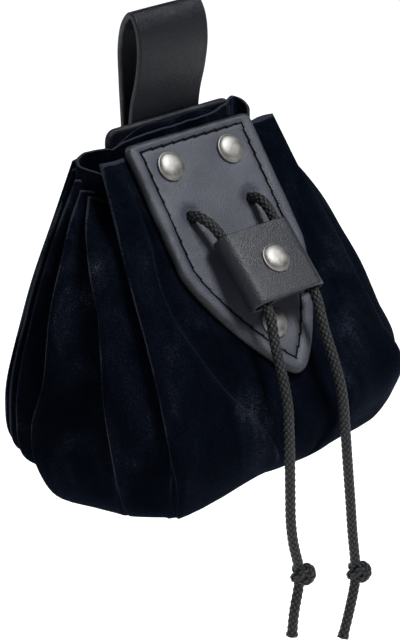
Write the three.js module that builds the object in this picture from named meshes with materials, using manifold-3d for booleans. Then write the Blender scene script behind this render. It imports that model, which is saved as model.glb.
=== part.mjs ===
// A belt pouch: a pleated velvet bag between two leather plates, hung from a leather belt loop.
// Millimetres, +Z up, +X to the wearer's left, -Y to the front. The origin is where the belt
// carries the pouch: the middle of the loop's inner top.
import * as THREE from "three";
import { mergeVertices } from "three/addons/utils/BufferGeometryUtils.js";
import Module from "manifold-3d";

const wasm = await Module();
wasm.setup();

// Driving dimensions
const gap = 0.3;
const cloth = 1.0;
const shortestEdge = 0.004;
const lean = THREE.MathUtils.degToRad(37.3);
const plate = {
  halfWidth: 23.9, length: 78, straight: 40, thickness: 2, cornerRadius: 3, noseRadius: 5, noseAside: 1.8,
};
const backPlate = { frontY: 7.6, thickness: 1.6, top: 2.4, height: 44, cornerRadius: 4, footRadius: 14 };
const strap = { width: 26, thickness: 2, foot: 38 };
const loopTop = { y: 10, innerZ: 33, forward: 3.7, back: 4.8 };
const rivet = { capRadius: 4.5, capHeight: 2.4, rim: 0.5, postRadius: 1.3, backRadius: 3.5, backHeight: 0.8 };
const rivetHole = rivet.postRadius + gap;
const rivetPlaces = { frontX: 11.5, frontDown: 9.4, tipInset: 16.2, loopX: 6.5, strapInset: 6 };
const plateRivets = [
  { name: "rivet_front_left", x: -rivetPlaces.frontX, down: rivetPlaces.frontDown },
  { name: "rivet_front_right", x: rivetPlaces.frontX, down: rivetPlaces.frontDown },
  { name: "rivet_tip", x: 0, down: plate.length - rivetPlaces.tipInset },
];
const loopRivets = [
  { name: "rivet_loop_left", x: -rivetPlaces.loopX, z: rivetPlaces.strapInset - strap.foot },
  { name: "rivet_loop_right", x: rivetPlaces.loopX, z: rivetPlaces.strapInset - strap.foot },
];
const cordRadius = 1.5;
const cordHole = { x: 11.6, down: 25.2, radius: 2.2 };
const toggle = {
  x: 1.5, down: 46.3, length: 22.6, halfWidth: 13.5, halfThickness: 3.8, leather: 1.5,
  pinchHalfWidth: 4.2, rise: 3.8,
};
const togglePose = { out: 6.3, tilt: THREE.MathUtils.degToRad(8) };

// Materials
const leather = new THREE.MeshStandardMaterial({ color: 0x3f4145, roughness: 0.5, metalness: 0 });
const velvet = new THREE.MeshStandardMaterial({ color: 0x0d0f16, roughness: 0.95, metalness: 0 });
const nickel = new THREE.MeshStandardMaterial({ color: 0xb9b6ae, roughness: 0.3, metalness: 1 });
const waxedCord = new THREE.MeshStandardMaterial({ color: 0x2a2b2d, roughness: 0.6, metalness: 0 });

const lerp = THREE.MathUtils.lerp;
const root = new THREE.Group();
const pouch = new THREE.Group();
pouch.position.set(0, -loopTop.y, -loopTop.innerZ);
root.add(pouch);

// The plate's own frame: x across, y up the slope, z out of its front face
const slope = new THREE.Group();
slope.rotation.x = Math.PI / 2 - lean;
pouch.add(slope);
slope.updateMatrix();

function addMesh(parent, name, geometry, material) {
  const mesh = new THREE.Mesh(geometry, material);
  mesh.name = name;
  parent.add(mesh);
  return mesh;
}

// Solids for cutting. Corners that fall together are joined, and faces left without an area go.
function toSolid(geometry) {
  const bare = geometry.clone();
  bare.deleteAttribute("normal");
  bare.deleteAttribute("uv");
  const merged = mergeVertices(bare, 1e-3);
  const faces = [];
  for (let start = 0; start < merged.index.count; start += 3) {
    const [a, b, c] = [0, 1, 2].map((corner) => merged.index.getX(start + corner));
    if (a !== b && b !== c && c !== a) {
      faces.push(a, b, c);
    }
  }
  return new wasm.Manifold(new wasm.Mesh({
    numProp: 3,
    vertProperties: Float32Array.from(merged.attributes.position.array),
    triVerts: Uint32Array.from(faces),
  }));
}

function toGeometry(solid) {
  const mesh = solid.getMesh();
  const geometry = new THREE.BufferGeometry();
  geometry.setAttribute("position", new THREE.Float32BufferAttribute(mesh.vertProperties, 3));
  geometry.setIndex(Array.from(mesh.triVerts));
  return geometry;
}

function cut(geometry, cutters) {
  let solid = toSolid(geometry);
  for (const cutter of cutters) {
    solid = solid.subtract(toSolid(cutter));
  }
  return toGeometry(solid.simplify(shortestEdge));
}

// A round rod of a radius along a line between two points
function rod(from, to, radius) {
  const along = new THREE.Vector3().subVectors(to, from);
  const geometry = new THREE.CylinderGeometry(radius, radius, along.length(), 12);
  const upright = new THREE.Vector3(0, 1, 0);
  geometry.applyQuaternion(new THREE.Quaternion().setFromUnitVectors(upright, along.clone().normalize()));
  geometry.translate(...from.clone().addScaledVector(along, 0.5).toArray());
  return geometry;
}

function smoothLine(points) {
  return new THREE.CatmullRomCurve3(points, false, "centripetal");
}

// A tube of eight sides along a smooth line through the points
function tube(points, radius, steps) {
  const section = new THREE.Shape();
  const sides = 8;
  for (let side = 0; side < sides; side++) {
    const angle = (side * 2 * Math.PI) / sides;
    section.lineTo(radius * Math.cos(angle), radius * Math.sin(angle));
  }
  const extrudePath = smoothLine(points.map(([x, y, z]) => new THREE.Vector3(x, y, z)));
  return new THREE.ExtrudeGeometry(section, { steps, extrudePath });
}

// A point given by its distance across, down the plate and out of its front face
function onPlate(x, down, out) {
  return new THREE.Vector3(x, -down, out).applyMatrix4(slope.matrix);
}

// The bag. Its outer face is drawn as upright lines, one for each place round the bag. The lines run
// through the sections below, from the mouth to the foot, and meet under the bag.
const bag = {
  halfWidth: 64, height: 100, front: 49, rear: 15.5, foldDepth: 9.5, valleyWidth: 1.9,
  crease: 1.5, creaseWidth: 1.4, creaseApart: 3, drop: 2.2,
};
const foldHalf = cloth + gap / 2;
const foldPitch = 2 * foldHalf + 4 / 3 * gap;
const lapSlack = 1.5 * gap;
const behindPlate = (z) => z * Math.tan(lean) + (plate.thickness + gap) / Math.cos(lean);
const backWallY = backPlate.frontY - gap;

// Each row is one section. down is a share of the bag's height, flat of the plate's half width, and
// crease, corner, rear, bulge and wall are shares of the bag's half width: the ridge beside the flat
// front, the first fold, the last one, how far those between stand out, and the back wall's corner.
// front and cornerOut are shares of the bag's front, rearOut and back of its rear; where there is none,
// the cloth lies against the plate, the folds lie on each other or the wall stands flat. ridge, drop and
// depth are shares of the crease's height, of how much deeper the cloth beside it lies, and of a fold's
// depth.
const sectionColumns = [
  "name", "down", "flat", "crease", "corner", "rear", "bulge", "wall",
  "front", "cornerOut", "rearOut", "back", "ridge", "drop", "depth",
];
const sections = [
  ["mouth", 0.035, 1.04, 0.43, 0.516, 0.492, 0.047, 0.411, null, 0.004, null, null, 0.07, 0.09, 0.85],
  ["neck", 0.22, 1.04, 0.44, 0.563, 0.586, 0.102, 0.438, null, 0.251, 0.98, null, 0.4, 0.55, 1],
  ["waist", 0.4, 1.01, 0.49, 0.625, 0.719, 0.164, 0.516, null, 0.502, 1, null, 0.8, 1, 1],
  ["lap", 0.6, 0.67, 0.4, 0.684, 0.836, 0.188, 0.594, null, 0.765, 1, 0.548, 1, 1, 0.9],
  ["belly", 0.74, 0.5, 0.25, 0.713, 0.89, 0.188, 0.625, 1.004, 0.904, 0.97, 0.742, 0.67, 0.55, 0.65],
  ["hem", 0.86, 0.5, 0.15, 0.684, 0.852, 0.18, 0.578, 0.984, 0.914, 0.839, 0.677, 0.33, 0.18, 0.3],
  ["foot", 0.93, 0.46, 0.1, 0.617, 0.758, 0.156, 0.484, 0.857, 0.816, 0.516, 0.323, 0, 0, 0.04],
  ["under", 0.98, 0.33, 0.06, 0.406, 0.5, 0.102, 0.313, 0.612, 0.571, 0, -0.19, 0, 0, 0],
].map((row) => Object.fromEntries(sectionColumns.map((column, place) => [column, row[place]])));
// The folds from front to back: the height of the top edge and of the bottom as shares of the bag's
// height, how much of its depth the valley after the fold keeps, and the share of the way from the
// first fold to the last one at each section
const folds = [
  { top: 0.035, bottom: 0.94, valley: 0.6, mouth: 0, neck: 0, waist: 0, lap: 0, belly: 0 },
  { top: 0.136, bottom: 0.97, valley: 0.8, mouth: 0.22, neck: 0.3, waist: 0.2, lap: 0.22, belly: 0.24 },
  { top: 0.124, bottom: 0.96, valley: 1, mouth: 0.42, neck: 0.54, waist: 0.54, lap: 0.57, belly: 0.66 },
  { top: 0.1, bottom: 0.925, valley: 1, mouth: 0.61, neck: 0.72, waist: 0.74, lap: 0.79, belly: 0.81 },
  { top: 0.078, bottom: 0.9, valley: 1, mouth: 0.81, neck: 0.87, waist: 0.88, lap: 0.9, belly: 0.91 },
  { top: 0.065, bottom: 0.9, valley: 1, mouth: 1, neck: 1, waist: 1, lap: 1, belly: 1 },
];
// Each pleat lies over the one behind it, so its valley is close behind the fold in front: near and far
// are the valley's two edges as shares of the space there, and place is its share of the way between
// the two folds
const valley = { near: 0.25, far: 0.75, place: 0.25 };
// The back wall's top edge, with its corner, the place beside the back plate and the one before it
const backEdge = { corner: 0.05, beside: 0.035, front: 0.015, foot: 0.9, belowPlate: 1.4 };
const underCentre = new THREE.Vector3(0, -0.286 * bag.front, -0.995 * bag.height);
const levelsPerSection = [4, 4, 3, 3, 2, 2, 2];

// The outer points of one section from the front's middle to the back's middle, on the +X side
function sectionPoints(section) {
  const atMouth = section.name === "mouth";
  const atFoot = section.name === "foot";
  const shareName = section.name in folds[0] ? section.name : "belly";
  const sectionZ = -section.down * bag.height;
  const edgeZ = (top, foot) => (atMouth ? -top * bag.height : atFoot ? -foot * bag.height : sectionZ);
  const flatW = section.flat * plate.halfWidth;
  const creaseW = section.crease * bag.halfWidth;
  const cornerW = section.corner * bag.halfWidth;
  const wallW = section.wall * bag.halfWidth;
  const slack = section.name === "lap" ? lapSlack : 0;
  const front = section.front === null ? behindPlate(sectionZ) + slack : -section.front * bag.front;
  const firstY = -section.cornerOut * bag.front;
  const stackedY = firstY + (foldPitch * (folds.length - 2)) / (folds.at(-1).mouth - folds[1].mouth);
  const lastY = section.rearOut === null ? stackedY : section.rearOut * bag.rear;
  const backY = section.back === null ? backWallY : section.back * bag.rear;
  const points = [];
  const innerW = Math.min(flatW, creaseW - bag.creaseApart);
  for (const part of [0, 0.5, 1]) {
    points.push([innerW * part, front, sectionZ]);
  }
  const creaseShare = Math.max(0, (creaseW - flatW) / (cornerW - flatW));
  const creaseY = lerp(front, firstY, creaseShare) - section.ridge * bag.crease;
  points.push([creaseW - bag.creaseWidth, creaseY + section.drop * bag.drop, sectionZ]);
  points.push([creaseW, creaseY, sectionZ]);

  const rearW = section.rear * bag.halfWidth;
  const bulgeW = section.bulge * bag.halfWidth;
  const tips = folds.map((fold) => {
    const share = fold[shareName];
    return {
      w: lerp(cornerW, rearW, share) + 4 * bulgeW * share * (1 - share),
      y: lerp(firstY, lastY, share),
      z: edgeZ(fold.top, fold.bottom),
    };
  });
  tips.forEach((tip, place) => {
    points.push([tip.w, tip.y - foldHalf, tip.z]);
    points.push([tip.w, tip.y + foldHalf, tip.z]);
    const next = tips[place + 1];
    if (next) {
      const space = Math.min(bag.valleyWidth, next.y - tip.y - 2 * foldHalf);
      const kept = atMouth ? 1 : folds[place].valley;
      const w = lerp(tip.w, next.w, valley.place) - section.depth * bag.foldDepth * kept;
      const [nearZ, farZ] = [0, 1].map((end) => lerp(tip.z, next.z, atMouth ? end : valley.place));
      points.push([w, tip.y + foldHalf + valley.near * space, nearZ]);
      points.push([w, tip.y + foldHalf + valley.far * space, farZ]);
    }
  });

  const cornerY = lastY + foldHalf;
  const topZ = atMouth ? backPlate.top - backEdge.belowPlate : edgeZ(0, backEdge.foot);
  points.push([wallW, cornerY, edgeZ(backEdge.corner, backEdge.foot)]);
  points.push([lerp(flatW, wallW, 0.4), lerp(backY, cornerY, 0.35), edgeZ(backEdge.beside, backEdge.foot)]);
  points.push([flatW, backY, edgeZ(backEdge.front, backEdge.foot)]);
  points.push([flatW / 2, backY, topZ]);
  points.push([0, backY, topZ]);
  return points.map(([x, y, z]) => new THREE.Vector3(x, y, z));
}

// The two sides differ: the front's lower corner on the +X side hangs higher, and so does the mouth's
// rear edge there. Widths are shares of the bag's half width, heights shares of its height.
const raisedCorner = { from: 0.23, to: 0.66, top: 0.62, foot: 0.93, height: 0.08 };
const raisedMouth = { from: 0.34, to: 0.42, behind: 0.26, full: 0.65, low: 0.18, high: 0.04, height: 0.045 };
function settle(point) {
  const aside = point.x / bag.halfWidth;
  const down = -point.z / bag.height;
  const behind = point.y / bag.rear;
  const { smoothstep, clamp } = THREE.MathUtils;
  const corner = raisedCorner.height * smoothstep(aside, raisedCorner.from, raisedCorner.to) *
    clamp((down - raisedCorner.top) / (raisedCorner.foot - raisedCorner.top), 0, 1);
  const mouth = raisedMouth.height * smoothstep(aside, raisedMouth.from, raisedMouth.to) *
    smoothstep(behind, raisedMouth.behind, raisedMouth.full) *
    clamp((raisedMouth.low - down) / (raisedMouth.low - raisedMouth.high), 0, 1);
  return new THREE.Vector3(point.x, point.y, point.z + (corner + mouth) * bag.height);
}

// Rings of outer points, each one whole way round, from the mouth down
function bagRings() {
  const bySection = sections.map(sectionPoints);
  const lines = bySection[0].map((_, place) => {
    const stations = bySection.map((points) => points[place]);
    return smoothLine([...stations, underCentre]);
  });
  const rings = [];
  const spans = sections.length;
  levelsPerSection.forEach((levels, span) => {
    const last = span === levelsPerSection.length - 1 ? 1 : 0;
    for (let level = 0; level < levels + last; level++) {
      const right = lines.map((line) => line.getPoint((span + level / levels) / spans));
      const left = right.slice(1, -1).reverse().map((point) => new THREE.Vector3(-point.x, point.y, point.z));
      rings.push([...right, ...left].map(settle));
    }
  });
  return rings;
}

// The point one cloth thickness inside every face that meets at a place of the rings
function insidePoint(rings, level, place) {
  const count = rings[0].length;
  const at = (l, p) => (l < rings.length ? rings[l][(p + count) % count] : underCentre);
  const sum = new THREE.Vector3();
  const spread = new THREE.Matrix3().multiplyScalar(0.02);
  const entries = spread.elements;
  for (const l of [level - 1, level]) {
    if (l < 0) {
      continue;
    }
    for (const p of [place - 1, place]) {
      const down = new THREE.Vector3().subVectors(at(l + 1, p + 1), at(l, p));
      const across = new THREE.Vector3().subVectors(at(l, p + 1), at(l + 1, p));
      const normal = down.cross(across).normalize();
      sum.add(normal);
      const n = normal.toArray();
      for (let row = 0; row < 3; row++) {
        for (let column = 0; column < 3; column++) {
          entries[row * 3 + column] += n[row] * n[column];
        }
      }
    }
  }
  const step = sum.multiplyScalar(cloth).applyMatrix3(spread.invert());
  step.clampLength(0, 1.8 * cloth);
  return new THREE.Vector3().subVectors(rings[level][place], step);
}

function bagGeometry() {
  const rings = bagRings();
  const count = rings[0].length;
  const inner = rings.map((ring, level) => ring.map((_, place) => insidePoint(rings, level, place)));
  const vertices = [...rings.flat(), ...inner.flat()];
  const outerPole = vertices.push(underCentre) - 1;
  const innerPole = vertices.push(underCentre.clone().setZ(underCentre.z + cloth)) - 1;
  const innerStart = rings.length * count;
  const faces = [];
  for (let place = 0; place < count; place++) {
    const next = (place + 1) % count;
    for (let level = 0; level + 1 < rings.length; level++) {
      const [a, b] = [level * count + place, level * count + next];
      const [c, d] = [a + count, b + count];
      faces.push(a, c, d, a, d, b);
      const [e, f, g, h] = [a, b, c, d].map((index) => index + innerStart);
      faces.push(e, h, g, e, f, h);
    }
    const lastRing = (rings.length - 1) * count;
    faces.push(lastRing + place, outerPole, lastRing + next);
    faces.push(innerStart + lastRing + place, innerStart + lastRing + next, innerPole);
    faces.push(place, next, innerStart + next, place, innerStart + next, innerStart + place);
  }
  const geometry = new THREE.BufferGeometry();
  const positions = vertices.flatMap((vertex) => vertex.toArray());
  geometry.setAttribute("position", new THREE.Float32BufferAttribute(positions, 3));
  geometry.setIndex(faces);
  return geometry;
}

// The leather plates
function roundedTop(shape, halfWidth, radius) {
  shape.lineTo(halfWidth, -radius);
  shape.quadraticCurveTo(halfWidth, 0, halfWidth - radius, 0);
  shape.lineTo(radius - halfWidth, 0);
  shape.quadraticCurveTo(-halfWidth, 0, -halfWidth, -radius);
}

function roundHole(x, y, radius) {
  const hole = new THREE.Path();
  hole.absarc(x, y, radius, 0, 2 * Math.PI, true);
  return hole;
}

// The shield: straight sides, then curved edges that meet in a rounded point a little to one side
function frontPlateGeometry() {
  const { halfWidth, length, straight, cornerRadius, noseRadius, noseAside, thickness } = plate;
  const nose = 0.64 * noseRadius - length;
  const shoulder = { x: 0.933 * halfWidth, y: -1.25 * straight };
  const cheek = { x: 2.68 * noseRadius, y: nose + 1.8 * noseRadius };
  const outline = new THREE.Shape();
  outline.moveTo(noseAside + noseRadius, nose);
  outline.bezierCurveTo(noseAside + cheek.x, cheek.y, shoulder.x, shoulder.y, halfWidth, -straight);
  roundedTop(outline, halfWidth, cornerRadius);
  outline.lineTo(-halfWidth, -straight);
  outline.bezierCurveTo(-shoulder.x, shoulder.y, noseAside - cheek.x, cheek.y, noseAside - noseRadius, nose);
  outline.quadraticCurveTo(noseAside, -length - 0.52 * noseRadius, noseAside + noseRadius, nose);
  for (const { x, down } of plateRivets) {
    outline.holes.push(roundHole(x, -down, rivetHole));
  }
  for (const side of [-1, 1]) {
    outline.holes.push(roundHole(side * cordHole.x, -cordHole.down, cordHole.radius));
  }
  return sheetGeometry(outline, thickness, 7).translate(0, 0, -thickness);
}

function sheetGeometry(shape, depth, curveSegments) {
  return new THREE.ExtrudeGeometry(shape, { depth, bevelEnabled: false, curveSegments });
}

function backPlateGeometry() {
  const { top, height, cornerRadius, footRadius, thickness, frontY } = backPlate;
  const { halfWidth } = plate;
  const outline = new THREE.Shape();
  outline.moveTo(halfWidth - footRadius, -height);
  outline.quadraticCurveTo(halfWidth, -height, halfWidth, footRadius - height);
  roundedTop(outline, halfWidth, cornerRadius);
  outline.lineTo(-halfWidth, footRadius - height);
  outline.quadraticCurveTo(-halfWidth, -height, footRadius - halfWidth, -height);
  for (const { x, z } of loopRivets) {
    outline.holes.push(roundHole(x, z - top, rivetHole));
  }
  const geometry = sheetGeometry(outline, thickness, 7);
  geometry.rotateX(Math.PI / 2);
  return geometry.translate(0, frontY + thickness, top);
}

// The belt loop stands on its two ends behind the back plate. Its middle line runs in the plane across
// the belt, from the front end over the top to the rear end. Each row is one place on it: across is a
// share of the way that the loop reaches forward or back of its top, up a share of the top's height.
const loopFront = [
  { across: 0.1, up: 0.21 },
  { across: 0.73, up: 0.48 },
  { across: 1, up: 0.72 },
  { across: 0.7, up: 0.93 },
];
const loopRear = [
  { across: 0.63, up: 0.94 },
  { across: 1, up: 0.74 },
  { across: 0.98, up: 0.42 },
  { across: 0.83, up: 0.06 },
];
const legPlaces = [1, 0.45];

function beltLoopGeometry() {
  const frontLeg = backPlate.frontY + backPlate.thickness + gap + strap.thickness / 2;
  const rearLeg = frontLeg + strap.thickness + gap;
  const middle = smoothLine([
    ...legPlaces.map((share) => [frontLeg, -share * strap.foot]),
    [frontLeg, 0],
    ...loopFront.map(({ across, up }) => [loopTop.y - across * loopTop.forward, up * loopTop.innerZ]),
    [loopTop.y, loopTop.innerZ + strap.thickness / 2],
    ...loopRear.map(({ across, up }) => [loopTop.y + across * loopTop.back, up * loopTop.innerZ]),
    ...legPlaces.toReversed().map((share) => [rearLeg, -share * strap.foot]),
  ].map(([y, z]) => new THREE.Vector3(y, z, 0)));
  const steps = 42;
  const outside = [];
  const inside = [];
  for (let step = 0; step <= steps; step++) {
    const point = middle.getPointAt(step / steps);
    const tangent = middle.getTangentAt(step / steps);
    const aside = new THREE.Vector2(tangent.y, -tangent.x).multiplyScalar(strap.thickness / 2);
    outside.push(new THREE.Vector2(point.x - aside.x, point.y - aside.y));
    inside.push(new THREE.Vector2(point.x + aside.x, point.y + aside.y));
  }
  const geometry = sheetGeometry(new THREE.Shape([...outside, ...inside.reverse()]), strap.width, 1);
  // The section's x and y become Y and Z, and the strap's width runs along X
  geometry.applyMatrix4(new THREE.Matrix4().makeBasis(
    new THREE.Vector3(0, 1, 0), new THREE.Vector3(0, 0, 1), new THREE.Vector3(1, 0, 0),
  ));
  geometry.translate(-strap.width / 2, 0, 0);
  return cut(geometry, loopRivets.map(({ x, z }) => rod(
    new THREE.Vector3(x, backWallY, z), new THREE.Vector3(x, rearLeg + strap.thickness, z), rivetHole,
  )));
}

// A rivet with a domed cap, a post and a flat back cap, its axis along z. The cap sits at the top of
// the grip, which is what the rivet holds together.
function rivetGeometry(grip) {
  const { capRadius, capHeight, rim, postRadius, backRadius, backHeight } = rivet;
  const dome = [[0.86, 0.35], [0.62, 0.78], [0.3, 0.96], [0, 1]];
  return turned([
    [0, -grip - backHeight], [backRadius - backHeight / 2, -grip - backHeight],
    [backRadius, -grip - backHeight / 2], [backRadius, -grip],
    [postRadius, -grip], [postRadius, 0], [capRadius, 0], [capRadius, rim],
    ...dome.map(([out, up]) => [capRadius * out, capHeight * up]),
  ]);
}

// A solid turned round z from a profile of radii and heights
function turned(profile) {
  const geometry = new THREE.LatheGeometry(profile.map(([r, h]) => new THREE.Vector2(r, h)), 12);
  return geometry.rotateX(Math.PI / 2);
}

// A section in x and z, drawn out along the plate and centred
function slidingSection(shape, length) {
  return sheetGeometry(shape, length, 5).rotateX(Math.PI / 2).translate(0, length / 2, 0);
}

// The toggle: a strap folded flat round both cords, pinched together by the rivet in its middle
function toggleGeometry() {
  const { halfWidth: w, halfThickness: t, leather: wall, length, pinchHalfWidth: pinch, rise } = toggle;
  const foot = pinch + rise;
  const pinchBack = t - 2 * wall;
  const inside = t - wall;
  const outline = new THREE.Shape();
  outline.moveTo(t - w, t);
  outline.absarc(t - w, 0, t, Math.PI / 2, (3 * Math.PI) / 2, false);
  outline.lineTo(-foot, -t);
  outline.bezierCurveTo(0.4 * rise - foot, -t, -pinch - 0.47 * rise, pinchBack, -pinch, pinchBack);
  outline.lineTo(pinch, pinchBack);
  outline.bezierCurveTo(pinch + 0.47 * rise, pinchBack, foot - 0.4 * rise, -t, foot, -t);
  outline.lineTo(w - t, -t);
  outline.absarc(w - t, 0, t, -Math.PI / 2, Math.PI / 2, false);
  const channels = [-1, 1].map((side) => {
    const channel = new THREE.Shape();
    const near = pinch + 0.26 * rise;
    const far = foot + 0.1 * rise;
    channel.moveTo(side * near, inside);
    channel.bezierCurveTo(
      side * (near + 0.42 * rise), 0.57 * inside, side * (far - 0.37 * rise), -inside, side * far, -inside,
    );
    channel.absarc(side * (w - t), 0, inside, -Math.PI / 2, Math.PI / 2, side < 0);
    return slidingSection(channel, length + 2);
  });
  const reach = new THREE.Vector3(0, 0, 2 * t);
  const post = rod(reach.clone().negate(), reach, rivetHole);
  return cut(slidingSection(outline, length), [...channels, post]);
}

// The stopper knot: a rounded bead with a bore for the cord, its axis along z
const knot = { bore: cordRadius + 2 * gap, radius: 4, halfHeight: 3 };
function knotGeometry() {
  const shoulder = 0.7 * knot.radius;
  const mouth = 0.8 * knot.halfHeight;
  const belly = 0.4 * knot.halfHeight;
  return turned([
    [knot.bore, -mouth], [shoulder, -knot.halfHeight], [knot.radius, -belly], [knot.radius, belly],
    [shoulder, knot.halfHeight], [knot.bore, mouth], [knot.bore, -mouth],
  ]);
}

// Routes of the cords as x, y, z in the pouch's frame
const holeDepth = 1;
const leftStart = onPlate(-cordHole.x, cordHole.down, -holeDepth).toArray();
const rightStart = onPlate(cordHole.x, cordHole.down, -holeDepth).toArray();
function inToggle(x, down) {
  const lift = (down - toggle.down) * Math.tan(togglePose.tilt);
  return onPlate(x, down, togglePose.out + lift).toArray();
}
const leftRoute = [
  leftStart,
  onPlate(-11.5, 25.5, 1).toArray(),
  onPlate(-11, 28, 3.6).toArray(),
  onPlate(-9.6, 31.5, 4.6).toArray(),
  inToggle(-8.6, 37),
  inToggle(-8.2, 46),
  inToggle(-7.3, 54),
  onPlate(-7.1, 59.5, 8.1).toArray(),
  [-8.2, -46.4, -51],
  [-9.2, -50.6, -59],
  [-9.6, -53.3, -67],
  [-9.2, -53.6, -76],
  [-8.6, -53.5, -86],
  [-8, -53.2, -96],
  [-7.4, -53, -105],
  [-6.2, -53, -112.5],
  [-4.4, -53, -119],
  [-3.4, -53, -123.4],
  [-4, -53, -128],
  [-5.5, -53, -135],
  [-6.3, -53, -142.6],
];
const rightRoute = [
  rightStart,
  onPlate(11.6, 25.5, 1).toArray(),
  onPlate(11.6, 28, 3.6).toArray(),
  onPlate(11.7, 31.5, 4.6).toArray(),
  inToggle(11.7, 37),
  inToggle(11.7, 46),
  inToggle(11.6, 54),
  onPlate(11.3, 59.5, 8.1).toArray(),
  [10.8, -46.6, -51],
  [11, -50.8, -60],
  [11.9, -53.2, -69],
  [13.2, -53.6, -80],
  [14.8, -53.5, -93],
  [16.6, -53.2, -106],
  [18, -53, -117],
  [19.3, -53, -126],
  [19.9, -53, -131],
  [19.3, -53, -136],
  [17.4, -53, -143.5],
  [15, -53, -151.4],
];
// From the left hole inside the front wall, through the middle folds of that side, across the back
// wall's inner face, and the same way to the right hole
const halfInside = [
  onPlate(cordHole.x, cordHole.down, -holeDepth - gap).toArray(),
  onPlate(cordHole.x, cordHole.down, -4).toArray(),
  [14, -9, -24],
  [20, -7.2, -25],
  [27, -6.6, -25],
  [32.5, -4.4, -25],
  [35, 0.2, -25],
  [33.6, 4.6, -25],
  [29, 6.2, -25],
  [24.5, 5.2, -25],
  [19, 4.5, -25],
  [10, 4.5, -25],
];
const insideRoute = [
  ...halfInside.map(([x, y, z]) => [-x, y, z]),
  [0, 4.5, -25],
  ...halfInside.toReversed(),
];
const cordSteps = 30;
const insideSteps = 50;

addMesh(pouch, "cord_left", tube(leftRoute, cordRadius, cordSteps), waxedCord);
addMesh(pouch, "cord_right", tube(rightRoute, cordRadius, cordSteps), waxedCord);
addMesh(pouch, "drawcord_inside", tube(insideRoute, cordRadius, insideSteps), waxedCord);

const knots = [
  { name: "knot_left", route: leftRoute, place: 17 },
  { name: "knot_right", route: rightRoute, place: 16 },
];
for (const { name, route, place } of knots) {
  const bead = addMesh(pouch, name, knotGeometry(), waxedCord);
  const [above, at, below] = [-1, 0, 1].map((step) => new THREE.Vector3(...route[place + step]));
  bead.position.copy(at);
  bead.quaternion.setFromUnitVectors(new THREE.Vector3(0, 0, 1), above.sub(below).normalize());
}

// The front: plate, rivets and toggle, in the plate's own frame
addMesh(slope, "front_plate", frontPlateGeometry(), leather);
const plateGrip = plate.thickness + cloth + 3 * gap;
for (const { name, x, down } of plateRivets) {
  addMesh(slope, name, rivetGeometry(plateGrip), nickel).position.set(x, -down, gap);
}
const slider = new THREE.Group();
slider.position.set(toggle.x, -toggle.down, togglePose.out);
slider.rotation.x = -togglePose.tilt;
slope.add(slider);
addMesh(slider, "toggle", toggleGeometry(), leather);
addMesh(slider, "toggle_rivet", rivetGeometry(2 * toggle.leather + 2 * gap), nickel).position.z =
  toggle.halfThickness + gap;

// The back: plate, loop and the rivets that hold them to the bag
addMesh(pouch, "back_plate", backPlateGeometry(), leather);
addMesh(pouch, "belt_loop", beltLoopGeometry(), leather);
const loopGrip = cloth + backPlate.thickness + 2 * strap.thickness + 5 * gap;
for (const { name, x, z } of loopRivets) {
  const back = addMesh(pouch, name, rivetGeometry(loopGrip), nickel);
  back.rotation.x = -Math.PI / 2;
  back.position.set(x, backWallY - cloth - gap + loopGrip, z);
}

// The bag, cut for the rivets and the cord
const rivetCuts = [
  ...plateRivets.map(({ x, down }) => rod(onPlate(x, down, 0), onPlate(x, down, -3 * plateGrip), rivetHole)),
  ...loopRivets.map(({ x, z }) => rod(
    new THREE.Vector3(x, backWallY - 4 * cloth, z), new THREE.Vector3(x, backWallY + 4 * cloth, z), rivetHole,
  )),
];
const cordClearance = tube(insideRoute, (cordRadius + gap) / Math.cos(Math.PI / 8), insideSteps);
addMesh(pouch, "velvet_bag", cut(bagGeometry(), [...rivetCuts, cordClearance]), velvet);

export default root;
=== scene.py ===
import math

import bmesh
import bpy
import numpy as np
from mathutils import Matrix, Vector, noise
from mathutils.geometry import delaunay_2d_cdt


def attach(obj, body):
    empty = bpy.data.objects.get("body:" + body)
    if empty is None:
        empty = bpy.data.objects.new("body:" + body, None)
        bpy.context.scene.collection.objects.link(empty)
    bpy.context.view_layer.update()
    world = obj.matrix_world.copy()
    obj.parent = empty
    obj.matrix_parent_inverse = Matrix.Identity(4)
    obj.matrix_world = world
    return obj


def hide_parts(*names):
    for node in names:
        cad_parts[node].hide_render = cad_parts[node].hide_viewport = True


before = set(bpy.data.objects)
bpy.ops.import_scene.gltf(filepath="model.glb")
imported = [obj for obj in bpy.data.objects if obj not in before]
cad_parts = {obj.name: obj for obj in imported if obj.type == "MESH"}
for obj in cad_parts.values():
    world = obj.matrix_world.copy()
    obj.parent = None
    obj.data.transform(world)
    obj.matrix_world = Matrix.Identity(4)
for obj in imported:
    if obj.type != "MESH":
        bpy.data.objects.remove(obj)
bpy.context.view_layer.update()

# Sizes in millimetres, in the pouch's own frame: its origin is the middle of the front plate's top edge
MM = 0.001
LOOP_TOP = np.array((0.0, 10.0, 33.0))
GAP = 0.3
CLOTH = 1.0
LEAN = math.radians(37.3)
PLATE = {
    "half": 23.9, "length": 78.0, "straight": 40.0, "thick": 2.0, "corner": 3.0, "nose": 5.0, "aside": 1.8,
}
BACK = {"front_y": 7.6, "thick": 1.6, "top": 2.4, "height": 44.0, "corner": 4.0, "foot": 14.0}
STRAP = {"width": 26.0, "thick": 2.0, "foot": 38.0, "forward": 3.7, "back": 4.8}
PLATE_RIVETS = {
    "rivet_front_left": (-11.5, 9.4),
    "rivet_front_right": (11.5, 9.4),
    "rivet_tip": (0.0, 61.8),
}
LOOP_RIVETS = {"rivet_loop_left": (-6.5, -32.0), "rivet_loop_right": (6.5, -32.0)}
CORD_RADIUS = 1.5
CORD_HOLE = {"x": 11.6, "down": 25.2, "radius": 1.9}
TOGGLE = {
    "x": 1.5, "down": 46.3, "length": 22.6, "half": 13.5, "thick": 3.8, "leather": 1.5,
    "pinch": 4.2, "rise": 3.8, "out": 6.3,
}
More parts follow.
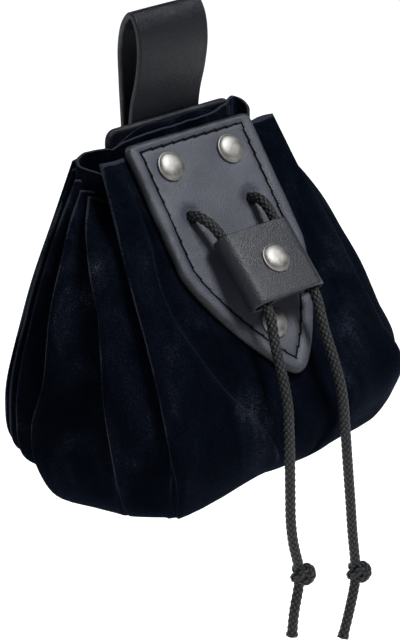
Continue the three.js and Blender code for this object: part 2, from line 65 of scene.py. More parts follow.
TOGGLE_TILT = math.radians(8)


def in_frame(points):
    """Millimetres in the pouch's frame to metres in the model's frame."""
    return (np.asarray(points, float) - LOOP_TOP) * MM


def on_plate(points):
    """Points as across, down the plate and out of its face, in the pouch's frame."""
    points = np.asarray(points, float)
    x, down, out = points[..., 0], points[..., 1], points[..., 2]
    y = -down * math.sin(LEAN) - out * math.cos(LEAN)
    z = -down * math.cos(LEAN) + out * math.sin(LEAN)
    return np.stack([x, y, z], axis=-1)


def lerp(a, b, share):
    return a + (b - a) * share


def smoothstep(value, low, high):
    share = np.clip((value - low) / (high - low), 0, 1)
    return share * share * (3 - 2 * share)


def bell(value, width):
    return np.exp(-((value / width) ** 2))


def unit(vectors):
    return vectors / np.linalg.norm(vectors, axis=-1, keepdims=True)


def arc(angles, radius, centre=(0, 0)):
    """Points on a flat circle."""
    return np.stack([np.cos(angles), np.sin(angles)], axis=1) * radius + centre


def noise_at(points, scale, seed):
    """Smooth noise from -1 to 1 at every point, with its own scale along each axis."""
    flat = points.reshape(-1, 3) * np.asarray(scale) + seed
    return np.array([noise.noise(Vector(point)) for point in flat]).reshape(points.shape[:-1])


def noise_across(points, scale, level):
    """Smooth noise from -1 to 1 over flat points."""
    return np.array([noise.noise(Vector((x * scale, y * scale, level))) for x, y in points])


def smooth_line(points, counts, closed=False):
    """A line through the points, which may be rows of points, with so many steps in each span."""
    points = np.asarray(points, float)
    before, after = points[-1:], points[:2]
    if not closed:
        before, after = 2 * points[:1] - points[1:2], 2 * points[-1:] - points[-2:-1]
    points = np.concatenate([before, points, after])
    samples = []
    for span in range(len(points) - 3):
        p0, p1, p2, p3 = points[span:span + 4]
        d0, d1, d2 = (
            np.maximum(np.linalg.norm(b - a, axis=-1, keepdims=True), 1e-6) ** 0.5
            for a, b in ((p0, p1), (p1, p2), (p2, p3))
        )
        t1 = ((p1 - p0) / d0 - (p2 - p0) / (d0 + d1) + (p2 - p1) / d1) * d1
        t2 = ((p2 - p1) / d1 - (p3 - p1) / (d1 + d2) + (p3 - p2) / d2) * d1
        steps = counts[span] if hasattr(counts, "__len__") else counts
        for step in range(steps):
            w = step / steps
            second = -3 * p1 + 3 * p2 - 2 * t1 - t2
            third = 2 * p1 - 2 * p2 + t1 + t2
            samples.append(p1 + t1 * w + second * w * w + third * w * w * w)
    if not closed:
        samples.append(points[-2])
    return np.array(samples)


def lengths_along(line):
    """How far along a line of points each one lies."""
    return np.concatenate([[0], np.cumsum(np.linalg.norm(np.diff(line, axis=0), axis=1))])


def points_along(line, along, wanted):
    """The points at the wanted distances along a line."""
    return np.stack([np.interp(wanted, along, line[:, axis]) for axis in range(line.shape[1])], axis=1)


def even_line(points, spacing):
    """The smooth line through the points, with points at an even spacing."""
    fine = smooth_line(points, 24)
    along = lengths_along(fine)
    count = max(2, int(round(along[-1] / spacing)) + 1)
    return points_along(fine, along, np.linspace(0, along[-1], count))


def place_object(name, data, location=(0, 0, 0)):
    """A new object in the scene."""
    placed = bpy.data.objects.new(name, data)
    placed.location = location
    bpy.context.scene.collection.objects.link(placed)
    return placed


def make_piece(name, points, faces, material, slot, replaces=(), **values):
    """A mesh piece from points in millimetres in the pouch's frame, with values at its points."""
    mesh = bpy.data.meshes.new(name)
    mesh.from_pydata(in_frame(points).tolist(), [], [list(map(int, face)) for face in faces])
    mesh.update()
    mesh.polygons.foreach_set("use_smooth", [True] * len(mesh.polygons))
    piece = place_object(name, mesh)
    mesh.materials.append(material)
    for value_name, numbers in values.items():
        attribute = mesh.attributes.new(value_name, "FLOAT", "POINT")
        attribute.data.foreach_set("value", np.asarray(numbers, np.float32).ravel())
    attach(piece, "root")
    if replaces:
        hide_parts(*replaces)
    return piece


def ring_edges(start, count):
    """The edges of a closed ring of points, as pairs of their numbers."""
    return [(start + i, start + (i + 1) % count) for i in range(count)]


def grid_faces(rows, columns, close_rows=False, close_columns=False, flip=False):
    faces = []
    for row in range(rows if close_rows else rows - 1):
        for column in range(columns if close_columns else columns - 1):
            a = row * columns + column
            b = row * columns + (column + 1) % columns
            c = ((row + 1) % rows) * columns + (column + 1) % columns
            d = ((row + 1) % rows) * columns + column
            faces.append((a, d, c, b) if flip else (a, b, c, d))
    return faces


def capped_tube(rows, columns):
    """Faces of a tube with flat ends."""
    last = (rows - 1) * columns
    caps = [list(range(columns))[::-1], list(range(last, last + columns))]
    return grid_faces(rows, columns, close_columns=True) + caps


def fanned_tube(rows, columns, flip=False):
    """Faces of a tube whose ends close to its mesh's last two points."""
    faces = grid_faces(rows, columns, close_columns=True, flip=flip)
    base, first = (rows - 1) * columns, rows * columns
    for a, b in ring_edges(0, columns):
        ends = [(b, a, first), (base + a, base + b, first + 1)]
        faces += [face[::-1] for face in ends] if flip else ends
    return faces


def directions_along(path):
    return unit(np.gradient(path, axis=0))


def sides_along(path):
    """Two steady side directions along a path."""
    tangents = directions_along(path)
    side = unit(np.cross(tangents[0], (0.0, 0.3, 1.0)))
    sides = []
    for tangent in tangents:
        side = unit(side - tangent * side.dot(tangent))
        sides.append(side)
    return np.array(sides), np.cross(tangents, sides)


# Materials
class Finish:
    """A material, with short ways to add nodes to it."""

    def __init__(self, name, base, roughness, metallic=0.0, **sockets):
        self.material = bpy.data.materials.new(name)
        self.material.use_nodes = True
        self.nodes = self.material.node_tree.nodes
        self.link = self.material.node_tree.links.new
        self.inputs = self.nodes["Principled BSDF"].inputs
        self.inputs["Base Color"].default_value = (*base, 1)
        self.inputs["Roughness"].default_value = roughness
        self.inputs["Metallic"].default_value = metallic
        for socket, value in sockets.items():
            self.inputs[socket.replace("_", " ")].default_value = value

    def add(self, kind, **values):
        """A new node, with values for its inputs and settings."""
        node = self.nodes.new(kind)
        for name, value in values.items():
            if name in node.inputs:
                node.inputs[name].default_value = value
            else:
                setattr(node, name, value)
        return node

    def millimetres(self, stretch):
        """The place on the object in millimetres, stretched for long marks."""
        place = self.add("ShaderNodeTexCoord")
        scale = self.add("ShaderNodeMapping", Scale=[1000 * share for share in stretch])
        self.link(place.outputs["Object"], scale.inputs["Vector"])
        return scale.outputs["Vector"]

    def noise(self, scale, detail=3.0, roughness=0.5, distortion=0.0, stretch=(1, 1, 1)):
        texture = self.add(
            "ShaderNodeTexNoise", Scale=scale, Detail=detail, Roughness=roughness, Distortion=distortion,
        )
        self.link(self.millimetres(stretch), texture.inputs["Vector"])
        return texture.outputs["Fac"]

    def attribute(self, name):
        """A value that the mesh carries at its points."""
        return self.add("ShaderNodeAttribute", attribute_name=name).outputs["Fac"]

    def combine(self, kind, first, second):
        node = self.add("ShaderNodeMath", operation=kind)
        for place, value in enumerate((first, second)):
            if hasattr(value, "is_linked"):
                self.link(value, node.inputs[place])
            else:
                node.inputs[place].default_value = value
        return node.outputs["Value"]

    def paint(self, socket, value, stops):
        """Colours or greys that follow a value, linked to one of the shader's sockets."""
        ramp = self.add("ShaderNodeValToRGB")
        elements = ramp.color_ramp.elements
        while len(elements) < len(stops):
            elements.new(0.5)
        for element, (position, colour) in zip(elements, stops):
            element.position = position
            element.color = (*colour, 1) if hasattr(colour, "__len__") else (colour, colour, colour, 1)
        self.link(value, ramp.inputs["Fac"])
        self.link(ramp.outputs["Color"], self.inputs[socket])

    def bump(self, height, distance, strength=1.0):
        node = self.add("ShaderNodeBump", Strength=strength, Distance=distance)
        self.link(height, node.inputs["Height"])
        self.link(node.outputs["Normal"], self.inputs["Normal"])


HIGHLIGHT_AND_EDGE_GREY = (0.05, 0.053, 0.061)


def leather_material(name, dark, light, roughness, shine, grain):
    """Smooth grain leather: small pebbles, a soft mottle and a satin gloss.

    The mesh's edge value darkens it where it is positive; where negative it paints it lighter, a painted
    highlight on bends and a lighter tone on cut edges."""
    look = Finish(name, dark, roughness, Specular_IOR_Level=shine)
    mottle = look.noise(0.09, detail=4, roughness=0.6)
    fine = look.noise(3.2, detail=4, roughness=0.65)
    change = look.combine("MULTIPLY", look.combine("MULTIPLY", look.attribute("edge"), fine), 0.8)
    shade = look.combine("SUBTRACT", mottle, change)
    darker_edge = tuple(0.15 * part for part in dark)
    # The darkest stop darkens the cut edges; the lightest is painted highlight on bends and a lighter tone
    # on cut edges
    look.paint("Base Color", shade, [(0.05, darker_edge), (0.3, dark), (0.7, light), (0.82, light), (1.0, HIGHLIGHT_AND_EDGE_GREY)])
    pebble = look.add("ShaderNodeTexVoronoi", Scale=2.6, Randomness=1.0)
    look.link(look.millimetres((1, 1, 1)), pebble.inputs["Vector"])
    look.bump(look.combine("ADD", look.combine("MULTIPLY", pebble.outputs["Distance"], 0.7), fine), grain)
    look.paint("Roughness", look.noise(0.35), [(0.3, roughness - 0.06), (0.75, roughness + 0.1)])
    return look.material


def velvet_material():
    """Short pile: nearly black, with a blue-grey sheen at grazing angles, marks in the nap and painted
    sheen where the mesh's ridge value is high.
    """
    look = Finish(
        "velvet", (0.003, 0.0045, 0.0085), 0.9,
        Sheen_Weight=0.13, Sheen_Roughness=0.25, Sheen_Tint=(0.4, 0.5, 0.75, 1), Specular_IOR_Level=0.0,
    )
    patches = look.noise(0.055, detail=6, roughness=0.66, distortion=0.5, stretch=(1, 1, 0.45))
    pile = look.noise(2.4, roughness=0.7)
    nap = look.combine("ADD", look.combine("MULTIPLY", pile, 0.85), look.combine("MULTIPLY", patches, 1.1))
    nap = look.combine("SUBTRACT", nap, 0.25)
    # Painted sheen: the mesh's ridge value lifts the colour towards the lightest stop
    nap = look.combine("ADD", nap, look.combine("MULTIPLY", look.attribute("ridge"), 0.36))
    look.paint("Base Color", nap, [
        (0.58, (0.0012, 0.0019, 0.0038)), (0.78, (0.0024, 0.0035, 0.0068)),
        (0.95, (0.0065, 0.0085, 0.015)), (1.0, (0.026, 0.029, 0.041)),
    ])
    look.bump(pile, 0.0004, strength=0.7)
    return look.material


def nickel_material():
    """Plated steel: bright, slightly warm, with faint dents and handling marks."""
    look = Finish("nickel", (0.66, 0.64, 0.6), 0.22, metallic=1.0)
    marks = look.noise(0.5, detail=4, roughness=0.6)
    look.paint("Base Color", marks, [(0.35, (0.225, 0.222, 0.211)), (0.65, (0.32, 0.314, 0.303))])
    look.paint("Roughness", marks, [(0.3, 0.45), (0.7, 0.58)])
    look.bump(marks, 0.00008)
    return look.material


def cord_material():
    """Waxed braid: charcoal strands, with painted shade where they pass under each other and painted
    highlight on their crowns.
    """
    look = Finish("waxed_cord", (0.03, 0.031, 0.033), 0.36, Specular_IOR_Level=0.26)
    fibre = look.noise(4.5, detail=4, roughness=0.7)
    # The strand value paints shade into the braid's gaps and highlight onto its crowns
    shade = look.combine("ADD", look.combine("MULTIPLY", fibre, 0.25), look.attribute("strand"))
    look.paint("Base Color", shade, [
        (0.4, (0.0001, 0.0001, 0.0002)), (0.62, (0.005, 0.006, 0.007)), (1.0, (0.036, 0.039, 0.044)),
    ])
    look.bump(fibre, 0.00025, strength=0.8)
    return look.material


def thread_material():
    """Dull black thread with a fine twist."""
    look = Finish("thread", (0.002, 0.002, 0.0025), 0.85, Specular_IOR_Level=0.12)
    twist = look.noise(3.0, detail=2)
    look.paint("Base Color", twist, [(0.35, (0.001, 0.001, 0.0014)), (0.7, (0.004, 0.004, 0.005))])
    look.bump(twist, 0.0002)
    return look.material


PLATE_LEATHER = leather_material(
    "plate_leather", dark=(0.034, 0.0385, 0.055), light=(0.056, 0.0615, 0.083),
    roughness=0.4, shine=0.42, grain=0.00012,
)
LOOP_LEATHER = leather_material(
    "loop_leather", dark=(0.0028, 0.0036, 0.0066), light=(0.0056, 0.0068, 0.0115),
    roughness=0.34, shine=0.23, grain=0.00014,
)
TOGGLE_LEATHER = leather_material(
    "toggle_leather", dark=(0.009, 0.0105, 0.016), light=(0.016, 0.0185, 0.0265),
    roughness=0.36, shine=0.38, grain=0.00011,
)
VELVET = velvet_material()
NICKEL = nickel_material()
CORD = cord_material()
THREAD = thread_material()

# The camera stands at the photograph's angle: 41.9 degrees to the left and 23.1 above
camera = place_object("camera", bpy.data.cameras.new("camera"), (-0.49354, -0.56612, 0.22410))
camera.rotation_euler = (math.radians(90 - 23.126), 0, math.radians(-41.866))
camera.data.lens = 152.69
camera.data.sensor_width = 36
camera.data.dof.use_dof = False
bpy.context.scene.camera = camera


# The cords: braided round cord from the plate's holes through the toggle to the cut ends
def in_toggle(x, down):
    return (x, down, TOGGLE["out"] + (down - TOGGLE["down"]) * math.tan(TOGGLE_TILT))


LEFT_ON_PLATE = [
    (-CORD_HOLE["x"], CORD_HOLE["down"], -1), (-11.5, 25.5, 1), (-11, 28, 3.6), (-9.6, 31.5, 4.6),
    in_toggle(-8.6, 37), in_toggle(-8.2, 46), in_toggle(-7.3, 54), (-7.1, 59.5, 8.1),
]
LEFT_FREE = [
    (-8.2, -46.4, -51), (-9.2, -50.6, -59), (-9.6, -53.3, -67), (-9.2, -53.6, -76), (-8.6, -53.5, -86),
    (-8, -53.2, -96), (-7.4, -53, -105), (-6.2, -53, -112.5), (-4.4, -53, -119), (-3.4, -53, -123.4),
    (-4, -53, -128), (-5.5, -53, -135), (-6.3, -53, -142.6),
]
RIGHT_ON_PLATE = [
    (CORD_HOLE["x"], CORD_HOLE["down"], -1), (11.6, 25.5, 1), (11.6, 28, 3.6), (11.7, 31.5, 4.6),
    in_toggle(11.7, 37), in_toggle(11.7, 46), in_toggle(11.6, 54), (11.3, 59.5, 8.1),
]
RIGHT_FREE = [
    (10.8, -46.6, -51), (11, -50.8, -60), (11.9, -53.2, -69), (13.2, -53.6, -80), (14.8, -53.5, -93),
    (16.6, -53.2, -106), (18, -53, -117), (19.3, -53, -126), (19.9, -53, -131), (19.3, -53, -136),
    (17.4, -53, -143.5), (15, -53, -151.4),
]
LEFT_KNOT = 9
RIGHT_KNOT = 8
BRAID = {
    "sides": 48, "step": 0.2, "strands": 6, "pitch": 2.0, "depth": 0.22, "flare": 0.22, "flare_reach": 0.9,
}
KNOT = {"points": 120, "out": 1.75, "swing": 0.78, "rise": 1.3, "radius": 1.45, "aside": (0.9, -0.2, 0.0)}


def braid_height(turn, along):
    """How high a braid's strands stand, from 0 to 1, at a share of a turn and a distance along."""
    right = BRAID["strands"] * turn + along / BRAID["pitch"]
    left = BRAID["strands"] * turn - along / BRAID["pitch"]
    over = (np.floor(right) + np.floor(left)) % 2 < 1
    strand = np.where(over, right % 1, left % 1)
    crown = np.where(over, left % 1, right % 1)
    return np.sin(np.pi * strand) ** 0.8 * (0.45 + 0.55 * np.sin(np.pi * crown))


def braided_tube(name, path, radius, replaces=(), flare=0.0, closed=False):
    """A tube in pouch millimetres with its braid in relief, and its length."""
    along = lengths_along(path)[:, None]
    turn = np.arange(BRAID["sides"]) / BRAID["sides"]
    height = braid_height(turn, along)
    widened = 1 + flare * np.exp((along - along[-1]) / BRAID["flare_reach"])
    distance = (radius - BRAID["depth"] + BRAID["depth"] * 1.5 * height) * widened
    section = distance[..., None] * arc(2 * np.pi * turn, 1)
    sides, ups = sides_along(path)
    rows = path[:, None] + section[..., :1] * sides[:, None] + section[..., 1:] * ups[:, None]
    points = rows.reshape(-1, 3)
    faces = grid_faces(*height.shape, close_rows=True, close_columns=True)
    if not closed:
        points = np.vstack([points, path[[0, -1]]])
        faces = fanned_tube(*height.shape)
        height = np.append(height, [0.4, 0.4])
    # The strand value carries the braid's painted shade and painted highlight
    return make_piece(name, points, faces, CORD, "cord", replaces, strand=height), along[-1, 0]


def knot_path(centre, above, below):
    """A tight overhand knot: a closed trefoil round the cord."""
    axis = unit(np.subtract(above, below))
    side = unit(np.cross(axis, (0.0, 1.0, 0.0)))
    front = np.cross(axis, side)
    turn = np.linspace(0, 2 * np.pi, KNOT["points"], endpoint=False)
    out = KNOT["out"] + KNOT["swing"] * np.cos(3 * turn)
    up = KNOT["rise"] * np.sin(3 * turn)
    around = np.outer(out * np.cos(2 * turn), side) + np.outer(out * np.sin(2 * turn), front)
    return centre + around + np.outer(up, axis)


CORDS = {
    "cord_left": (LEFT_ON_PLATE, LEFT_FREE, LEFT_KNOT, "knot_left"),
    "cord_right": (RIGHT_ON_PLATE, RIGHT_FREE, RIGHT_KNOT, "knot_right"),
}
for cord_name, (plate_part, free_part, knot_place, knot_name) in CORDS.items():
    route = np.concatenate([on_plate(plate_part), np.array(free_part, float)])
    path = even_line(route, BRAID["step"])
    cord_piece, cord_length = braided_tube(
        cord_name + "_braid", path, CORD_RADIUS, [cord_name], flare=BRAID["flare"],
    )
    knot_line = knot_path(
        np.add(free_part[knot_place], KNOT["aside"]), free_part[knot_place - 1], free_part[knot_place + 1],
    )
    knot_piece, _ = braided_tube(knot_name + "_braid", knot_line, KNOT["radius"], [knot_name], closed=True)

# The bag's sections and folds, with nearly the same shares as its solid. The drop and the sink are how far
# each side's swag falls back beside its crease and how far its valleys lie below the folds at the mouth
BAG = {
    "half": 64.0, "height": 100.0, "front": 49.0, "rear": 15.5, "fold": 9.5, "valley": 1.9,
    "crease": 1.5, "crease_width": 2.2, "crease_apart": 3.0,
}
RIGHT_SIDE = {"drop": 0.25, "sink": 1.0}
LEFT_SIDE = {"drop": 2.2, "sink": 3.0}
MOUTH_LIFT = {"front": 0.7, "rear": 0.2}
FOLD_HALF = CLOTH + GAP / 2
FOLD_PITCH = 2 * FOLD_HALF + GAP + 0.1
FOLD_SHARPNESS = 0.52
BACK_WALL_Y = BACK["front_y"] - GAP
SECTION_COLUMNS = (
    "name", "down", "flat", "crease", "corner", "rear", "bulge", "wall",
    "front", "corner_out", "rear_out", "back", "ridge", "drop", "depth",
)
SECTIONS = [dict(zip(SECTION_COLUMNS, row)) for row in (
    ("mouth", 0.035, 1.04, 0.43, 0.516, 0.492, 0.047, 0.411, None, 0.004, None, None, 0.07, 0.09, 0.85),
    ("neck", 0.22, 1.04, 0.44, 0.563, 0.586, 0.102, 0.438, None, 0.251, 0.98, None, 0.4, 0.55, 1),
    ("waist", 0.4, 1.01, 0.49, 0.625, 0.719, 0.164, 0.516, None, 0.502, 1, None, 0.8, 1, 1),
    ("lap", 0.6, 0.67, 0.4, 0.684, 0.836, 0.188, 0.594, None, 0.765, 1, 0.548, 1, 1, 0.9),
    ("belly", 0.74, 0.5, 0.25, 0.713, 0.89, 0.188, 0.625, 1.004, 0.904, 0.97, 0.742, 0.67, 0.55, 0.65),
    ("hem", 0.86, 0.5, 0.15, 0.684, 0.885, 0.185, 0.578, 0.984, 0.914, 0.839, 0.677, 0.33, 0.18, 0.3),
    ("foot", 0.93, 0.46, 0.1, 0.617, 0.758, 0.156, 0.484, 0.857, 0.816, 0.516, 0.323, 0, 0, 0.06),
    ("under", 0.985, 0.33, 0.06, 0.406, 0.5, 0.102, 0.313, 0.612, 0.571, 0, -0.19, 0, 0, 0),
)]
VALLEY = {"near": 0.25, "far": 0.75, "place": 0.25}
FOLD_COLUMNS = ("top", "bottom", "valley", "mouth", "neck", "waist", "lap", "belly")
FOLDS = [dict(zip(FOLD_COLUMNS, row)) for row in (
    (0.035, 0.974, 0.6, 0, 0, 0, 0, 0),
    (0.136, 0.972, 0.8, 0.22, 0.3, 0.2, 0.22, 0.22),
    (0.124, 0.972, 1, 0.42, 0.54, 0.54, 0.57, 0.66),
    (0.1, 0.92, 1, 0.61, 0.72, 0.74, 0.79, 0.81),
    (0.078, 0.9, 1, 0.81, 0.87, 0.88, 0.9, 0.91),
    (0.065, 0.9, 1, 1, 1, 1, 1, 1),
)]
BACK_EDGE = {"corner": 0.06, "beside": 0.06, "front": 0.045, "foot": 0.9, "below_plate": 1.4}
UNDER_CENTRE = np.array((0, -0.286 * BAG["front"], -0.995 * BAG["height"]))
LEVELS = (16, 16, 15, 14, 11, 8, 7, 6)
AROUND = 6
RAISED_CORNER = {"from": 0.23, "to": 0.66, "top": 0.62, "foot": 0.93, "height": 0.08}
NARROW_HEM = {"from": 0.45, "to": 0.75, "top": 0.76, "foot": 0.88, "share": 0.06}
LOW_FOOT = {"from": 35, "to": 48, "top": 0.84, "foot": 0.94, "y": -16, "width": 10, "depth": 2.0}


def section_points(section, drop, sink):
    """One section's outer points from the front's middle to the back's middle, on the +X side."""
    at_mouth = section["name"] == "mouth"
    at_foot = section["name"] == "foot"
    share_name = section["name"] if section["name"] in FOLD_COLUMNS else "belly"
    section_z = -section["down"] * BAG["height"]

    def edge_z(top, bottom):
        return -top * BAG["height"] if at_mouth else -bottom * BAG["height"] if at_foot else section_z

    flat_w = section["flat"] * PLATE["half"]
    crease_w, corner_w, wall_w, rear_w, bulge_w = (
        section[name] * BAG["half"] for name in ("crease", "corner", "wall", "rear", "bulge")
    )
    half = FOLD_HALF * FOLD_SHARPNESS
    behind_plate = section_z * math.tan(LEAN) + (PLATE["thick"] + GAP) / math.cos(LEAN)
    front = behind_plate if section["front"] is None else -section["front"] * BAG["front"]
    first_y = -section["corner_out"] * BAG["front"]
    stacked = FOLD_PITCH * (len(FOLDS) - 2) / (FOLDS[-1]["mouth"] - FOLDS[1]["mouth"])
    last_y = first_y + stacked if section["rear_out"] is None else section["rear_out"] * BAG["rear"]
    back_y = BACK_WALL_Y if section["back"] is None else section["back"] * BAG["rear"]
    inner_w = min(flat_w, crease_w - BAG["crease_apart"])
    points = [(inner_w * part, front, section_z) for part in (0, 0.5, 1)]
    crease_share = max(0, (crease_w - flat_w) / (corner_w - flat_w))
    crease_y = lerp(front, first_y, crease_share) - section["ridge"] * BAG["crease"]
    points.append((crease_w - BAG["crease_width"], crease_y + section["drop"] * drop, section_z))
    points.append((crease_w, crease_y, section_z))
    tips = []
    for fold in FOLDS:
        share = fold[share_name]
        w = lerp(corner_w, rear_w, share) + 4 * bulge_w * share * (1 - share)
        tips.append((w, lerp(first_y, last_y, share), edge_z(fold["top"], fold["bottom"])))
    front_lift, rear_lift = MOUTH_LIFT.values() if at_mouth else (0, 0)
    for place, (w, y, z) in enumerate(tips):
        points += [(w, y - half, z + front_lift), (w, y + half, z + rear_lift)]
        if place + 1 < len(tips):
            next_w, next_y, next_z = tips[place + 1]
            space = min(BAG["valley"], next_y - y - 2 * FOLD_HALF)
            kept = 1 if at_mouth else FOLDS[place]["valley"]
            valley_w = lerp(w, next_w, VALLEY["place"]) - section["depth"] * BAG["fold"] * kept
            for end, part in enumerate(("near", "far")):
                valley_z = lerp(z, next_z, end) - sink if at_mouth else lerp(z, next_z, VALLEY["place"])
                points.append((valley_w, y + FOLD_HALF + VALLEY[part] * space, valley_z))
    corner_y = last_y + half
    top_z = BACK["top"] - BACK_EDGE["below_plate"] if at_mouth else edge_z(0, BACK_EDGE["foot"])
    back_points = {
        "corner": (wall_w, corner_y),
        "beside": (lerp(flat_w, wall_w, 0.4), lerp(back_y, corner_y, 0.35)),
        "front": (flat_w, back_y),
    }
    points += [(x, y, edge_z(BACK_EDGE[part], BACK_EDGE["foot"])) for part, (x, y) in back_points.items()]
    return points + [(flat_w / 2, back_y, top_z), (0, back_y, top_z)]


def settle(points):
    """The sides differ: the +X lower corner hangs higher and is narrower, and the -X foot hangs lower."""
    aside = points[..., 0] / BAG["half"]
    down = -points[..., 2] / BAG["height"]
    raised, hem, foot = RAISED_CORNER, NARROW_HEM, LOW_FOOT
    corner = raised["height"] * smoothstep(aside, raised["from"], raised["to"])
    corner *= np.clip((down - raised["top"]) / (raised["foot"] - raised["top"]), 0, 1)
    narrowed = smoothstep(aside, hem["from"], hem["to"]) * smoothstep(down, hem["top"], hem["foot"])
    lowered = smoothstep(-points[..., 0], foot["from"], foot["to"])
    lowered *= smoothstep(down, foot["top"], foot["foot"])
    settled = points.copy()
    settled[..., 2] += corner * BAG["height"]
    settled[..., 0] *= 1 - hem["share"] * narrowed
    settled[..., 2] -= foot["depth"] * bell(points[..., 1] - foot["y"], foot["width"]) * lowered
    return settled


def surface_normals(points):
    """Unit normals on rows of points that each close into a ring."""
    down = np.gradient(points, axis=0)
    across = (np.roll(points, -1, axis=1) - np.roll(points, 1, axis=1)) / 2
    normals = np.cross(down, across)
    length = np.linalg.norm(normals, axis=-1, keepdims=True)
    return normals / np.maximum(length, 1e-9)


def half_of_bag(side):
    """Rows of points down one side of the bag, from the mouth to the middle of its underside."""
    stations = np.array([section_points(section, **side) for section in SECTIONS])
    stations = np.concatenate([stations, np.broadcast_to(UNDER_CENTRE, (1, *stations.shape[1:]))])
    return smooth_line(stations, LEVELS)[:-1]


def thicken(sheet, offset):
    """Gives a sheet of velvet its thickness."""
    cloth = sheet.modifiers.new("cloth", "SOLIDIFY")
    cloth.thickness = 0.9 * CLOTH * MM
    cloth.offset = offset


right_half = half_of_bag(RIGHT_SIDE)
left_half = half_of_bag(LEFT_SIDE)[:, 1:-1][:, ::-1] * (-1, 1, 1)
cage = settle(np.concatenate([right_half, left_half], axis=1))
skin = smooth_line(cage.transpose(1, 0, 2), AROUND, closed=True).transpose(1, 0, 2)

# Soft unevenness: long shallow waves down the cloth and small dimples, none of it under the plate
BAG_CENTRE = (0, -6, 0)
WAVES = {"scale": (0.05, 0.05, 0.022), "seed": 3.1, "height": 1.3}
DIMPLES = {"scale": (0.12, 0.12, 0.05), "seed": 11.7, "height": 0.45}
outwards = skin - BAG_CENTRE
outwards[..., 2] = 0
depth_down = -skin[..., 2] / BAG["height"]
beside_plate = smoothstep(np.abs(skin[..., 0]), 22, 32)
below_plate = smoothstep(depth_down, 0.6, 0.72)
back_plate_free = 1 - smoothstep(skin[..., 1], 2, 6) * (1 - smoothstep(depth_down, 0.42, 0.55))
free_cloth = np.maximum(beside_plate, below_plate) * back_plate_free * smoothstep(depth_down, 0.06, 0.3)
uneven = sum(kind["height"] * noise_at(skin, kind["scale"], kind["seed"]) for kind in (WAVES, DIMPLES))
skin = skin + unit(outwards) * (uneven * free_cloth)[..., None]

rows, columns = skin.shape[:2]
bag_points = np.vstack([skin.reshape(-1, 3), UNDER_CENTRE])
bag_faces = grid_faces(rows, columns, close_columns=True, flip=True)
bag_faces += [(a, rows * columns, b) for a, b in ring_edges((rows - 1) * columns, columns)]

# Painted sheen: the nap is painted lighter where the cloth bends outwards, on the swags and on the mouth's
# edge, for light caught on the folds
REACH = 3
SWAG_SHEEN = {"right": 0.4, "left": 0.35, "width": 4.5}
MOUTH_EDGE_SHEEN = {"strength": 2.0, "aside": 27.5, "front_y": 4}
before, after = np.roll(skin, REACH, axis=1), np.roll(skin, -REACH, axis=1)
reach_length = np.linalg.norm(before - after, axis=-1) / 2
bend = -2 * (((before + after) / 2 - skin) * surface_normals(skin)).sum(axis=-1)
bend /= np.maximum(reach_length, 0.5) ** 2
ridge = smoothstep(bend, 0.3, 1.1) * (1 - smoothstep(depth_down, 0.78, 0.92))
low_part = smoothstep(depth_down, 0.42, 0.56) * (1 - smoothstep(depth_down, 0.66, 0.8))
for crease_column, side in ((4 * AROUND, "right"), (columns - 4 * AROUND, "left")):
    from_crease = np.linalg.norm(skin - skin[:, crease_column][:, None], axis=-1)
    # Painted sheen on the swag beside each crease, low on the bag
    ridge += SWAG_SHEEN[side] * bell(from_crease, SWAG_SHEEN["width"]) * low_part
ridge *= 0.62 + 0.9 * noise_at(skin, (0.1, 0.1, 0.06), 5.3)
# Painted sheen along the mouth's edge, except along the back plate
at_edge = (np.abs(skin[0, :, 0]) > MOUTH_EDGE_SHEEN["aside"]) | (skin[0, :, 1] < MOUTH_EDGE_SHEEN["front_y"])
ridge[0] = np.where(at_edge, MOUTH_EDGE_SHEEN["strength"], 0)
bag = make_piece(
    "velvet_bag_cloth", bag_points, bag_faces, VELVET, "velvet", ["velvet_bag"], ridge=np.append(ridge, 0),
)
thicken(bag, -1)

# Inside the mouth a second edge of velvet runs along the back plate and stands up as a hollow curl at
# each end: across, back and the height of its top edge
INNER_EDGE = [
    (-23.5, 6.2, -2.8), (-19, 4.9, -1.0), (-12, 5.3, -0.5), (-5, 4.6, -0.1), (2, 5.2, -0.1), (9, 4.5, 0.3),
    (15, 5.2, 0.4), (20.5, 6.5, 1.1), (23.8, 8.3, 1.7), (26.6, 9.3, 1.6), (28.6, 8.0, 0.4),
    (28.9, 5.6, -1.4), (27.2, 3.6, -3.0), (24.2, 2.4, -4.8), (21.0, 1.9, -7.2), (18.5, 1.8, -9.5),
]
LEFT_CURL = [
    (-17, 6.6, -4.0), (-20.9, 6.9, -3.5), (-25.4, 7.2, -2.4), (-28.4, 8.8, -2.6), (-31.1, 9.9, -3.2),
    (-33.4, 9.6, -4.4), (-33.9, 8.2, -5.6), (-32.6, 6.3, -6.5), (-30.8, 4.5, -7.3), (-28.6, 3.2, -8.6),
    (-26.0, 2.4, -10.5),
]
INNER_ROWS = 9


def mouth_edge(name, points, foot):
    """A strip of velvet that stands in the mouth, from its top edge down to its foot."""
    line = even_line(points, spacing=0.5)
    line[:, 1] += 0.25 * noise_across(line[:, :2], 0.35, 2.0)
    line[:, 2] += 0.3 * noise_across(line[:, :2], 0.3, 7.0)
    strips = [
        line * (1, 1, 1 - share) + (0, 0, foot * share) for share in np.linspace(0, 1, INNER_ROWS) ** 2
    ]
    faces = grid_faces(INNER_ROWS, len(line))
    # Painted sheen along the strip's top edge
    highlight_and_edge = np.zeros((INNER_ROWS, len(line)))
    highlight_and_edge[0] = MOUTH_EDGE_SHEEN["strength"]
    thicken(make_piece(name, np.concatenate(strips), faces, VELVET, "velvet", ridge=highlight_and_edge), 0)


mouth_edge("velvet_bag_inner_edge", INNER_EDGE, foot=-13.0)
mouth_edge("velvet_bag_left_curl", LEFT_CURL, foot=-16.0)


